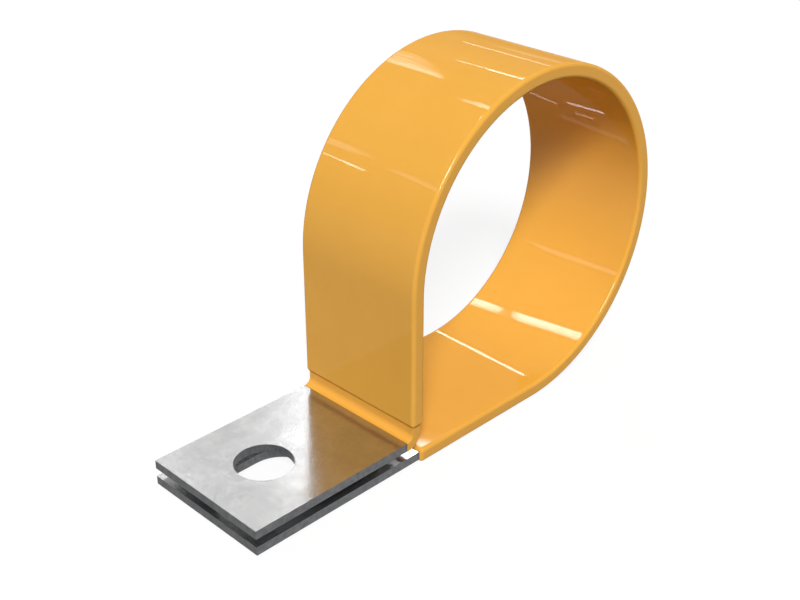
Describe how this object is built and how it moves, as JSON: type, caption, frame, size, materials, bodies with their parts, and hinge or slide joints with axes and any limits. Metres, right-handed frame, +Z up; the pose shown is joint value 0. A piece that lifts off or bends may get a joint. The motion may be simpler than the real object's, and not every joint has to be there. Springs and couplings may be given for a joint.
{
  "type": "tube clamp",
  "caption": "Flat steel strap bent into an open round loop with parallel bolt tabs, the loop coated in orange vinyl, to hold a tube or a cable bundle.",
  "frame": {"origin": "on the tube's axis, midway across the strap's width", "axes": "+Y along the tube, +Z up from the flat base, the bolt tabs reach out towards -X"},
  "size_m": [0.0946, 0.0264, 0.0618],
  "materials": {
    "steel": "galvanised, softly mottled, satin",
    "vinyl": "glossy dip-moulded orange vinyl"
  },
  "bodies": {
    "root": {"steel_strap": "steel", "vinyl_coating": "vinyl"}
  },
  "joints": []
}
